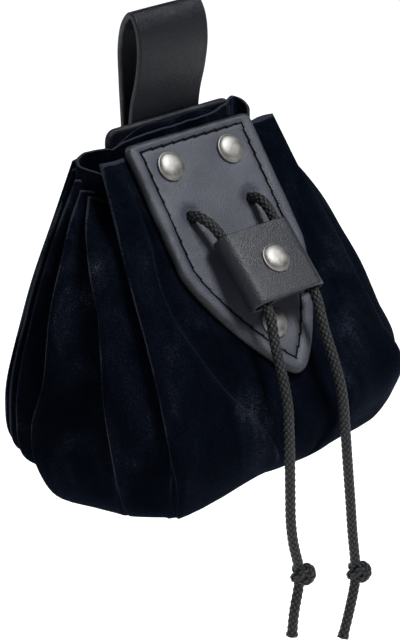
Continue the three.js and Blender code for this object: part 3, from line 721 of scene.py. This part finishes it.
# Leather sheets: a flat outline with rounded edges, worked into relief
def inside_of(points, outline):
    """Which points lie inside a closed outline."""
    x, y = points[:, 0:1], points[:, 1:2]
    x1, y1 = outline[:, 0], outline[:, 1]
    x2, y2 = np.roll(x1, -1), np.roll(y1, -1)
    crosses = (y1 > y) != (y2 > y)
    with np.errstate(divide="ignore", invalid="ignore"):
        at = (x2 - x1) * (y - y1) / (y2 - y1) + x1
    return (crosses & (x < at)).sum(axis=1) % 2 == 1


def distance_to(points, outline):
    """The distance from each point to a closed outline."""
    nearest = np.full(len(points), 1e9)
    for start, end in zip(outline, np.roll(outline, -1, axis=0)):
        along = end - start
        share = np.clip((points - start) @ along / max(along @ along, 1e-12), 0, 1)
        nearest = np.minimum(nearest, np.linalg.norm(points - start - share[:, None] * along, axis=1))
    return nearest


def bezier(p0, p1, p2, p3, count):
    t = np.linspace(0, 1, count, endpoint=False)[:, None]
    p0, p1, p2, p3 = (np.array(p, float) for p in (p0, p1, p2, p3))
    return (1 - t) ** 3 * p0 + 3 * (1 - t) ** 2 * t * p1 + 3 * (1 - t) * t * t * p2 + t ** 3 * p3


def quadratic(p0, p1, p2, count):
    t = np.linspace(0, 1, count, endpoint=False)[:, None]
    p0, p1, p2 = (np.array(p, float) for p in (p0, p1, p2))
    return (1 - t) ** 2 * p0 + 2 * (1 - t) * t * p1 + t * t * p2


def resample(outline, spacing):
    """A closed outline with its points at an even spacing."""
    ring = np.vstack([outline, outline[:1]])
    along = lengths_along(ring)
    count = int(round(along[-1] / spacing))
    return points_along(ring, along, np.linspace(0, along[-1], count, endpoint=False))


def moved_in(outline, distance):
    """A convex outline that runs anticlockwise, moved inwards."""
    along = unit(np.roll(outline, -1, axis=0) - np.roll(outline, 1, axis=0))
    return outline + np.stack([-along[:, 1], along[:, 0]], axis=1) * distance


def triangulated(groups, loops, tolerance):
    """Flat points, triangles and their centres from groups of points, some of them closed loops."""
    edges = []
    start = 0
    for group in groups:
        if any(group is loop for loop in loops):
            edges += ring_edges(start, len(group))
        start += len(group)
    result = delaunay_2d_cdt([Vector(point) for point in np.concatenate(groups)], edges, [], 0, tolerance)
    flat = np.array([tuple(point) for point in result[0]])
    triangles = np.array([face for face in result[2] if len(face) == 3])
    return flat, triangles, flat[triangles].mean(axis=1)


HOLE_STEPS = (0, 0.25, 0.6, 1.1, 1.7)
HOLE_SIDES = 28
ROW_SHARE = 0.866
CLEAR_SHARE = 0.6


def sheet_mesh(outline, holes, spacing, rim_steps):
    """Flat triangles that fill an outline, with rings of points along its rim and holes."""
    groups = [outline] + [moved_in(outline, step) for step in rim_steps]
    loops = [outline]
    angle = np.linspace(0, 2 * np.pi, HOLE_SIDES, endpoint=False)
    for x, y, radius in holes:
        circles = [arc(angle, radius + step, (x, y)) for step in HOLE_STEPS]
        groups += circles
        loops.append(circles[0])
    low, high = outline.min(axis=0), outline.max(axis=0)
    xs = np.arange(low[0], high[0], spacing)
    ys = np.arange(low[1], high[1], spacing * ROW_SHARE)
    grid = np.array([(x + (spacing / 2 if row % 2 else 0), y) for row, y in enumerate(ys) for x in xs])
    clear = spacing * CLEAR_SHARE
    keep = inside_of(grid, outline) & (distance_to(grid, outline) > rim_steps[-1] + clear)
    for x, y, radius in holes:
        keep &= np.linalg.norm(grid - (x, y), axis=1) > radius + HOLE_STEPS[-1] + clear
    flat, triangles, centres = triangulated([*groups, grid[keep]], loops, 1e-5)
    inside = inside_of(centres, outline)
    for x, y, radius in holes:
        inside &= np.linalg.norm(centres - (x, y), axis=1) > radius * 0.98
    return flat, triangles[inside]


def sheet_solid(flat, triangles, top, bottom):
    """A closed solid between two heights given at every point."""
    count = len(flat)
    points = np.vstack([np.column_stack([flat, top]), np.column_stack([flat, bottom])])
    faces = [tuple(face) for face in triangles] + [tuple(face[::-1] + count) for face in triangles]
    edges = dict.fromkeys(edge for a, b, c in triangles for edge in ((a, b), (b, c), (c, a)))
    return points, faces + [(b, a, a + count, b + count) for a, b in edges if (b, a) not in edges]


def rounded_edge(distance, radius, drop):
    share = np.clip(1 - distance / radius, 0, 1)
    return drop * (1 - np.sqrt(np.clip(1 - share * share, 0, 1)))


def plate_outline():
    """The shield's outline, anticlockwise, with y up the slope."""
    half, nose = PLATE["half"], 0.64 * PLATE["nose"] - PLATE["length"]
    straight, corner, tip, aside = PLATE["straight"], PLATE["corner"], PLATE["nose"], PLATE["aside"]
    shoulder = (0.933 * half, -1.25 * straight)
    cheek = (2.68 * tip, nose + 1.8 * tip)
    corner_part = np.concatenate([
        [(half, -straight)],
        quadratic((half, -corner), (half, 0), (half - corner, 0), 10),
    ])
    right = np.concatenate([
        bezier((aside + tip, nose), (aside + cheek[0], cheek[1]), shoulder, (half, -straight), 40),
        corner_part,
    ])
    left = bezier(
        (aside - tip, nose), (aside - cheek[0], cheek[1]),
        (-shoulder[0], shoulder[1]), (-half, -straight), 40,
    )
    left = np.concatenate([left, corner_part * (-1, 1)])[::-1]
    bottom = quadratic((aside - tip, nose), (aside, -PLATE["length"] - 0.52 * tip), (aside + tip, nose), 14)
    return resample(np.concatenate([right, left, bottom]), 0.85)


# The dip is how deep a stitch's ends go, and the swell how much wider they are in their holes
STITCH = {
    "top": 2.9, "side": 4.6, "pitch": 4.1, "length": 3.9, "radius": 0.27, "sides": 8, "steps": 13,
    "slant": 0.16, "dip": 0.14, "swell": 1.2, "flat": 0.8,
}


def stitch_path():
    """The stitch line along the top and down both sides, as an outline that starts at the tip."""
    outline = plate_outline()
    line = moved_in(outline, STITCH["side"])
    far_enough = distance_to(line, outline) > STITCH["side"] - 0.05
    corner_x = PLATE["half"] - STITCH["side"] + 0.3
    at_side = (line[:, 1] < -PLATE["straight"]) | (np.abs(line[:, 0]) > corner_x - 0.5)
    line = line[far_enough & at_side & (line[:, 1] < -STITCH["top"] - 1.0)]
    right = line[line[:, 0] > PLATE["aside"]]
    right = right[np.argsort(right[:, 1])]
    left = line[line[:, 0] <= PLATE["aside"]]
    left = left[np.argsort(-left[:, 1])]
    tip = (PLATE["aside"], min(right[0, 1], left[-1, 1]) - 0.6)
    return np.vstack([[tip], right, [(corner_x, -STITCH["top"]), (-corner_x, -STITCH["top"])], left])


PUFF = {"rim": 0.48, "field": 0.12, "field_reach": 4}
GROOVE = {"depth": 0.3, "width": 0.6}
RIVET_DIP = {"depth": 0.35, "radius": 4.0, "width": 2.2}
HOLE_DIP = {"depth": 0.7, "width": 1.5, "raised": 0.08, "raised_at": 5.2, "raised_width": 2.2}
outline = plate_outline()
stitches = stitch_path()
holes = [(side * CORD_HOLE["x"], -CORD_HOLE["down"], CORD_HOLE["radius"]) for side in (-1, 1)]
flat, triangles = sheet_mesh(outline, holes, spacing=0.7, rim_steps=(0.18, 0.45, 0.85, 1.4))
edge_distance = distance_to(flat, outline)
stitch_distance = distance_to(flat, stitches)
in_field = inside_of(flat, stitches)
rim_share = edge_distance / np.maximum(edge_distance + stitch_distance, 1e-6)
rim = PUFF["rim"] * np.sin(np.pi * np.clip(rim_share, 0, 1)) ** 0.6
field = PUFF["field"] * (1 - np.exp(-stitch_distance / PUFF["field_reach"]))
top = np.where(in_field, field, rim) - GROOVE["depth"] * bell(stitch_distance, GROOVE["width"])
top -= rounded_edge(edge_distance, radius=1.6, drop=1.15)
for x, down in PLATE_RIVETS.values():
    away = np.hypot(flat[:, 0] - x, flat[:, 1] + down)
    top -= RIVET_DIP["depth"] * bell(np.maximum(away - RIVET_DIP["radius"], 0), RIVET_DIP["width"])
for x, y, radius in holes:
    away = np.hypot(flat[:, 0] - x, flat[:, 1] - y)
    top -= HOLE_DIP["depth"] * bell(away - radius, HOLE_DIP["width"])
    top += HOLE_DIP["raised"] * bell(away - HOLE_DIP["raised_at"], HOLE_DIP["raised_width"])
top += 0.22 * noise_across(flat, 0.09, 4.0)
bottom = rounded_edge(edge_distance, radius=0.9, drop=0.7) - PLATE["thick"]
plate_points, plate_faces = sheet_solid(flat, triangles, top, bottom)
make_piece(
    "front_plate_leather", on_plate(plate_points * (1, -1, 1)), plate_faces, PLATE_LEATHER, "leather",
    ["front_plate"], edge=np.append(1 - smoothstep(edge_distance, 0.2, 2.0), np.ones(len(flat))),
)


def stitch_mesh(line):
    """Separate stitches along a line, each a short thread that dips into its holes."""
    ring = np.vstack([line, line[:1]])
    along = lengths_along(ring)
    count = int(round(along[-1] / STITCH["pitch"]))
    pitch = along[-1] / count
    shares = np.linspace(-1, 1, STITCH["steps"])
    angle = np.linspace(0, 2 * np.pi, STITCH["sides"], endpoint=False)
    radius = STITCH["radius"] * (1 + STITCH["swell"] * np.abs(shares) ** 8)[:, None]
    height = STITCH["flat"] * radius * np.sin(angle) - STITCH["dip"] * np.abs(shares[:, None]) ** 5
    one_thread = capped_tube(len(shares), len(angle))
    points = []
    faces = []
    for stitch in range(count):
        places = np.clip((stitch + 0.5) * pitch + shares * STITCH["length"] / 2, 0, along[-1])
        centre = points_along(ring, along, places)
        direction = unit(centre[-1] - centre[0])
        side = np.array((-direction[1], direction[0]))
        centre = centre + shares[:, None] * STITCH["slant"] * side
        across = centre[:, None] + (radius * np.cos(angle))[..., None] * side
        start = stitch * height.size
        points.append(np.concatenate([across, height[..., None]], axis=-1).reshape(-1, 3))
        faces += [[start + i for i in face] for face in one_thread]
    return np.concatenate(points), faces


stitch_points, stitch_faces = stitch_mesh(stitches)
make_piece("front_plate_stitches", on_plate(stitch_points * (1, -1, 1)), stitch_faces, THREAD, "cord")


def back_outline():
    """The back plate's outline, anticlockwise, with y up."""
    half, height, corner, foot = PLATE["half"], BACK["height"], BACK["corner"], BACK["foot"]
    right = np.concatenate([
        quadratic((half - foot, -height), (half, -height), (half, foot - height), 24),
        [(half, foot - height)],
        quadratic((half, -corner), (half, 0), (half - corner, 0), 12),
    ])
    return resample(np.concatenate([right, right[::-1] * (-1, 1)]), 0.9)


def on_back(points):
    """Across, up from the plate's top and out towards the front, in the pouch's frame."""
    return np.stack([points[:, 0], BACK["front_y"] - points[:, 2], BACK["top"] + points[:, 1]], axis=1)


outline = back_outline()
flat, triangles = sheet_mesh(outline, [], spacing=1.3, rim_steps=(0.18, 0.45, 0.85, 1.5, 2.4))
edge_distance = distance_to(flat, outline)
roll = 0.3 * np.sin(np.pi * np.clip(edge_distance / 2.6, 0, 1)) - 0.2 * bell(edge_distance - 2.7, 0.45)
relief = roll - rounded_edge(edge_distance, radius=0.8, drop=0.75) + 0.1 * noise_across(flat, 0.08, 9.0)
back_points, back_faces = sheet_solid(flat, triangles, relief, -BACK["thick"] - relief)
# A negative edge value paints a highlight along the rim
make_piece(
    "back_plate_leather", on_back(back_points), back_faces, LOOP_LEATHER, "leather", ["back_plate"],
    edge=np.tile(-0.9 * bell(edge_distance - 0.4, 0.7), 2),
)

# The belt loop: one strap swept along its middle line, with rounded edges, painted lighter along its sides
# and with a painted highlight on its top bend
front_leg = BACK["front_y"] + BACK["thick"] + GAP + STRAP["thick"] / 2
rear_leg = front_leg + STRAP["thick"] + GAP
LOOP_FRONT = ((0.1, 0.21), (0.73, 0.48), (1.0, 0.72), (0.7, 0.93))
LOOP_REAR = ((0.63, 0.94), (1.0, 0.74), (0.98, 0.42), (0.83, 0.06))
loop_line = (
    [(front_leg, -STRAP["foot"]), (front_leg, -0.45 * STRAP["foot"]), (front_leg, 0.0)]
    + [(LOOP_TOP[1] - across * STRAP["forward"], up * LOOP_TOP[2]) for across, up in LOOP_FRONT]
    + [(LOOP_TOP[1], LOOP_TOP[2] + STRAP["thick"] / 2)]
    + [(LOOP_TOP[1] + across * STRAP["back"], up * LOOP_TOP[2]) for across, up in LOOP_REAR]
    + [(rear_leg, -0.45 * STRAP["foot"]), (rear_leg, -STRAP["foot"])]
)
middle = even_line([(0, y, z) for y, z in loop_line], spacing=0.8)


def strap_section(width, thick, radius):
    """A rectangle with rounded corners, fine at its edges, as across and through."""
    half_w, half_t = width / 2, thick / 2
    turn = np.radians([0, 18, 36, 54, 72, 90])
    corner = arc(turn, radius, (half_w - radius, half_t - radius))
    across = np.linspace(0.94, -0.94, 17) * (half_w - radius)
    crown = 0.12 * (1 - (across / half_w) ** 2) - 0.1 * bell(np.abs(across) - (half_w - 2.0), 0.35)
    face = np.stack([across, half_t + crown - 0.05], axis=1)
    upper = np.concatenate([corner, face, corner[::-1] * (-1, 1)])
    return np.concatenate([upper, -upper])


section = strap_section(STRAP["width"], STRAP["thick"], radius=0.65)
through = np.cross(directions_along(middle), (1.0, 0.0, 0.0))
strap_points = np.concatenate([
    point + section[:, :1] * (1.0, 0.0, 0.0) + section[:, 1:] * normal
    for point, normal in zip(middle, through)
])
# Painted highlight on the top bend, and the sides painted lighter, through a negative edge value
LOOP_HIGHLIGHT_AND_EDGE = {"bend": 0.6, "from_z": 29.5, "to_z": 33, "side": 0.75}
at_bend = smoothstep(strap_points[:, 2], LOOP_HIGHLIGHT_AND_EDGE["from_z"], LOOP_HIGHLIGHT_AND_EDGE["to_z"])
at_bend *= strap_points[:, 1] < LOOP_TOP[1] + 2
at_side = smoothstep(np.abs(strap_points[:, 0]), STRAP["width"] / 2 - 0.8, STRAP["width"] / 2 - 0.2)
make_piece(
    "belt_loop_strap", strap_points, capped_tube(len(middle), len(section)), LOOP_LEATHER, "leather",
    ["belt_loop"], edge=-np.maximum(LOOP_HIGHLIGHT_AND_EDGE["bend"] * at_bend, LOOP_HIGHLIGHT_AND_EDGE["side"] * at_side),
)

# The rivets: a domed cap with a lip, a post and a flat back cap
CAP = (
    (0, 1.66), (0.8, 1.65), (1.6, 1.6), (2.3, 1.51), (2.95, 1.36), (3.45, 1.17), (3.8, 0.96), (3.98, 0.79),
    (4.05, 0.66), (4.1, 0.58), (4.25, 0.56), (4.4, 0.48), (4.48, 0.32), (4.5, 0.14), (4.42, -0.05),
    (4.1, -0.12),
)


def turned(profile, sides=56):
    """A solid turned round its axis, from radii and heights that start and end on the axis."""
    angle = np.linspace(0, 2 * np.pi, sides, endpoint=False)
    rows = [
        np.column_stack([arc(angle, radius), np.full(sides, height)]) for radius, height in profile[1:-1]
    ]
    ends = [(0, 0, profile[0][1]), (0, 0, profile[-1][1])]
    return np.concatenate([*rows, ends]), fanned_tube(len(rows), sides, flip=True)


def rivet_profile(grip):
    """A rivet's cap, post and back cap, for the thickness that it holds."""
    return (*CAP, (1.3, -0.12), (1.3, -grip), (3.3, -grip), (3.5, -grip - 0.2), (3.45, -grip - 0.55),
            (3.1, -grip - 0.8), (0, -grip - 0.8))


CAP_SINK = 0.05
plate_grip = PLATE["thick"] + CLOTH + 3 * GAP
for name, (x, down) in PLATE_RIVETS.items():
    points, faces = turned(rivet_profile(plate_grip - CAP_SINK))
    placed = on_plate(points * (1, -1, 1) + (x, down, -CAP_SINK))
    make_piece(name + "_cap", placed, faces, NICKEL, "rivet_metal", [name])

loop_grip = CLOTH + BACK["thick"] + 2 * STRAP["thick"] + 5 * GAP
for name, (x, z) in LOOP_RIVETS.items():
    points, faces = turned(rivet_profile(loop_grip))
    base_y = BACK_WALL_Y - CLOTH - GAP + loop_grip
    placed = np.stack([x + points[:, 0], base_y + points[:, 2], z - points[:, 1]], axis=1)
    make_piece(name + "_cap", placed, faces, NICKEL, "rivet_metal", [name])


# The toggle: a strap folded round both cords, with rounded cut ends
def on_toggle(points):
    """Across, up the toggle and out of it, in the pouch's frame."""
    points = np.asarray(points, float)
    x, up, out = points[:, 0], points[:, 1], points[:, 2]
    cosine, sine = math.cos(TOGGLE_TILT), math.sin(TOGGLE_TILT)
    down = -(up * cosine + out * sine)
    lifted = -up * sine + out * cosine
    return on_plate(np.stack([x + TOGGLE["x"], down + TOGGLE["down"], lifted + TOGGLE["out"]], axis=1))


def toggle_section():
    """The folded strap's outline and its two channels, as across and out."""
    w, t, wall = TOGGLE["half"], TOGGLE["thick"], TOGGLE["leather"]
    pinch, rise = TOGGLE["pinch"], TOGGLE["rise"]
    foot = pinch + rise
    pinch_back, inside = t - 2 * wall, t - wall
    turn = np.linspace(math.pi / 2, 3 * math.pi / 2, 22)
    left_round = arc(turn, t, (t - w, 0))
    under = bezier(
        (-foot, -t), (0.4 * rise - foot, -t), (-pinch - 0.47 * rise, pinch_back), (-pinch, pinch_back), 10,
    )
    across = np.linspace(-pinch, pinch, 8, endpoint=False)
    bridge = np.stack([across, np.full(8, pinch_back)], axis=1)
    half = np.concatenate([left_round, under])
    top_across = np.linspace(w - t, t - w, 26)[1:-1]
    top = np.stack([top_across, t + 0.25 * (1 - (top_across / (w - t)) ** 2)], axis=1)
    outer = np.concatenate([half, bridge, half[::-1] * (-1, 1), top])
    near, far = pinch + 0.26 * rise, foot + 0.1 * rise
    bend = bezier(
        (near, inside), (near + 0.42 * rise, 0.57 * inside),
        (far - 0.37 * rise, -inside), (far, -inside), 10,
    )
    turn = np.linspace(-math.pi / 2, math.pi / 2, 16)
    channel = np.concatenate([bend, arc(turn, inside, (w - t, 0))])
    return outer, [channel, channel * (-1, 1)]


def runs_anticlockwise(outline):
    following = np.roll(outline, -1, axis=0)
    return np.sum(outline[:, 0] * following[:, 1] - following[:, 0] * outline[:, 1]) > 0


def extruded(outer, holes, length, rounding):
    """A section with holes drawn out along the middle axis, with rounded ends."""
    loops = [outer, *holes]
    flat = np.concatenate(loops)
    found, triangles, centres = triangulated(loops, loops, 1e-6)
    keep = inside_of(centres, outer)
    for hole in holes:
        keep &= ~inside_of(centres, hole)
    first = -length / 2
    rounded = [
        (first + rounding * (1 - math.sin(turn)), rounding * (1 - math.cos(turn)))
        for turn in np.radians((90, 60, 30, 0))
    ]
    straight = [(y, 0.0) for y in np.linspace(first + rounding, -first - rounding, 20)[1:-1]]
    inwards = [1 if runs_anticlockwise(line) == (line is outer) else -1 for line in loops]
    rows = []
    for y, shrink in rounded + straight + [(-y, shrink) for y, shrink in rounded[::-1]]:
        ring = np.concatenate([moved_in(line, inward * shrink) for line, inward in zip(loops, inwards)])
        rows.append(np.column_stack([ring[:, 0], np.full(len(flat), y), ring[:, 1]]))
    count = len(flat)
    faces = []
    start = 0
    base = (len(rows) - 1) * count
    for line in loops:
        for row_start in range(start, start + base, count):
            faces += [(a, b, b + count, a + count) for a, b in ring_edges(row_start, len(line))]
        start += len(line)
    nearest = [int(np.argmin(np.linalg.norm(flat - point, axis=1))) for point in found]
    for face in triangles[keep]:
        a, b, c = (nearest[i] for i in face)
        faces += [(a, b, c), (base + c, base + b, base + a)]
    return np.concatenate(rows), faces


outer, channels = toggle_section()
toggle_points, toggle_faces = extruded(outer, channels, TOGGLE["length"], rounding=0.45)
# Painted highlight along the left bend, and the cut ends painted lighter, through a negative edge value
TOGGLE_HIGHLIGHT_AND_EDGE = {"bend": 0.9, "width": 1.5, "outside": 1.3, "end": 0.7}
bend_x = TOGGLE["thick"] - TOGGLE["half"] - TOGGLE_HIGHLIGHT_AND_EDGE["outside"]
at_bend = TOGGLE_HIGHLIGHT_AND_EDGE["bend"] * bell(toggle_points[:, 0] - bend_x, TOGGLE_HIGHLIGHT_AND_EDGE["width"])
on_face = smoothstep(toggle_points[:, 2], 1.0, 2.5)
at_end = smoothstep(np.abs(toggle_points[:, 1]), TOGGLE["length"] / 2 - 1.0, TOGGLE["length"] / 2 - 0.3)
highlight_and_edge = np.maximum(at_bend, TOGGLE_HIGHLIGHT_AND_EDGE["end"] * at_end) * on_face
toggle = make_piece(
    "toggle_leather", on_toggle(toggle_points), toggle_faces, TOGGLE_LEATHER, "leather", ["toggle"],
    edge=-highlight_and_edge,
)
work = bmesh.new()
work.from_mesh(toggle.data)
bmesh.ops.recalc_face_normals(work, faces=work.faces)
work.to_mesh(toggle.data)
work.free()

points, faces = turned(rivet_profile(2 * TOGGLE["leather"] + 2 * GAP))
placed = on_toggle(points + (0, 0, TOGGLE["thick"] + 0.3))
make_piece("toggle_rivet_cap", placed, faces, NICKEL, "rivet_metal", ["toggle_rivet"])

# The hidden cord keeps its solid and takes the cord's finish
hidden_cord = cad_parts["drawcord_inside"]
hidden_cord.data.materials.clear()
hidden_cord.data.materials.append(CORD)

# Floor, world and lights
FLOOR_Z = -0.24
floor_mesh = bpy.data.meshes.new("floor")
floor_mesh.from_pydata([(-4, -4, 0), (4, -4, 0), (4, 4, 0), (-4, 4, 0)], [], [(0, 1, 2, 3)])
floor = place_object("floor", floor_mesh, (0, 0, FLOOR_Z))
pale = Finish("floor", (0.85, 0.85, 0.85), 0.8, Emission_Color=(1, 1, 1, 1), Emission_Strength=0.58)
floor_mesh.materials.append(pale.material)

world = bpy.data.worlds.new("studio")
bpy.context.scene.world = world
world.use_nodes = True
background = world.node_tree.nodes["Background"]
background.inputs["Color"].default_value = (1, 1, 1, 1)
background.inputs["Strength"].default_value = 0.1


def area_light(name, place, target, size, power):
    light = place_object(name, bpy.data.lights.new(name, "AREA"), place)
    light.data.size = size
    light.data.energy = power
    light.rotation_mode = "QUATERNION"
    light.rotation_quaternion = (Vector(target) - Vector(place)).to_track_quat("-Z", "Y")


area_light("key", (0.3, -0.5, 0.9), (0, -0.03, -0.06), 0.4, 14)
area_light("left_fill", (-0.9, -0.35, 0.25), (0, -0.02, -0.07), 0.6, 0.8)
area_light("rear_rim", (-0.3, 0.7, 0.55), (0, 0, -0.05), 0.5, 3)
bpy.context.scene.view_settings.view_transform = "Standard"
